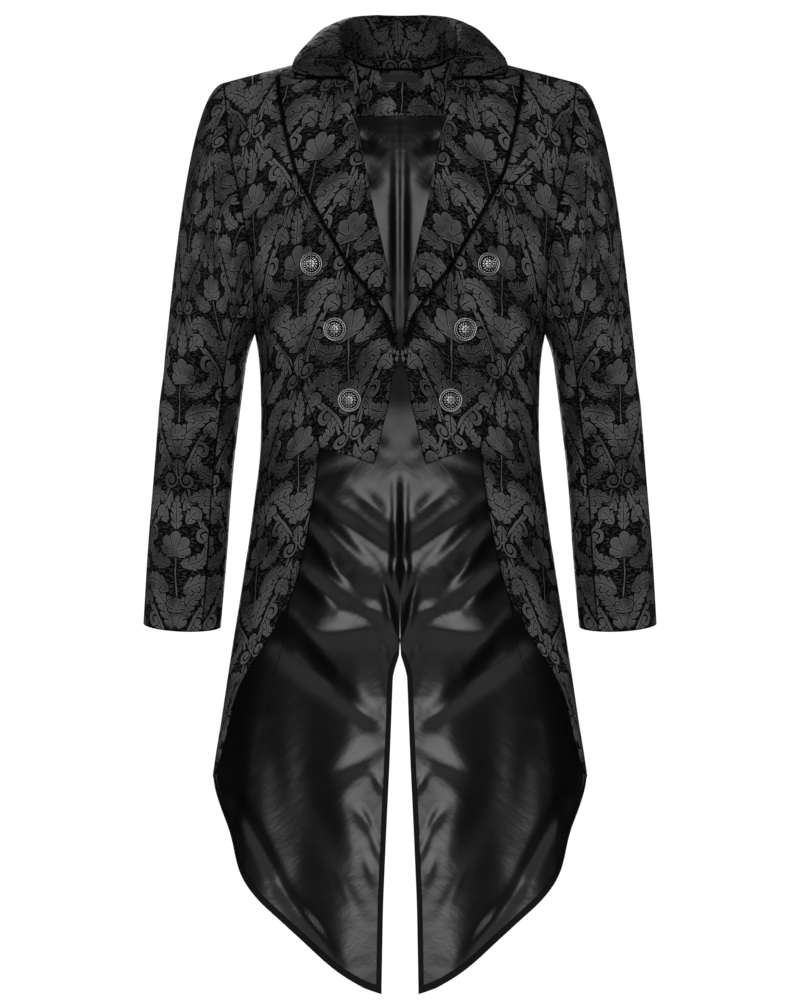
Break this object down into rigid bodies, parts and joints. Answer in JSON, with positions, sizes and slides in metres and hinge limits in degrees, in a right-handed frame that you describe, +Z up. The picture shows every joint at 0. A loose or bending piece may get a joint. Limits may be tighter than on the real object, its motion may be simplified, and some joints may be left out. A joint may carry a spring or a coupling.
{
  "type": "gothic tailcoat jacket",
  "caption": "Double-breasted tailcoat jacket of black figured cloth, worn open and hollow, short in front with long split tails, high turned collar and satin lining.",
  "frame": {"origin": "between the shoulders, midway between the points of the neck and level with the neck seam, where the wearer holds the coat up", "axes": "+Z up along the coat's length, -Y the front, +X the wearer's left"},
  "size_m": [0.612, 0.268, 1.206],
  "materials": {
    "figured_cloth": "ribbed black ground with raised matt satin figures",
    "satin_lining": "black satin",
    "buttons": "aged pewter",
    "label": "woven tape, bare"
  },
  "bodies": {
    "root": {"front_left": "figured_cloth", "front_right": "figured_cloth", "side_left": "figured_cloth", "side_right": "figured_cloth", "back_left": "figured_cloth", "back_right": "figured_cloth", "sleeve_top_left": "figured_cloth", "sleeve_top_right": "figured_cloth", "sleeve_under_left": "figured_cloth", "sleeve_under_right": "figured_cloth", "lapel_left": "figured_cloth", "lapel_right": "figured_cloth", "collar": "figured_cloth", "back_neck_facing": "figured_cloth", "breast_welt": "figured_cloth", "lining_back_left": "satin_lining", "lining_back_right": "satin_lining", "lining_side_left": "satin_lining", "lining_side_right": "satin_lining", "button_left_upper": "buttons", "button_left_middle": "buttons", "button_left_lower": "buttons", "button_right_upper": "buttons", "button_right_middle": "buttons", "button_right_lower": "buttons", "neck_label": "label"}
  },
  "joints": []
}
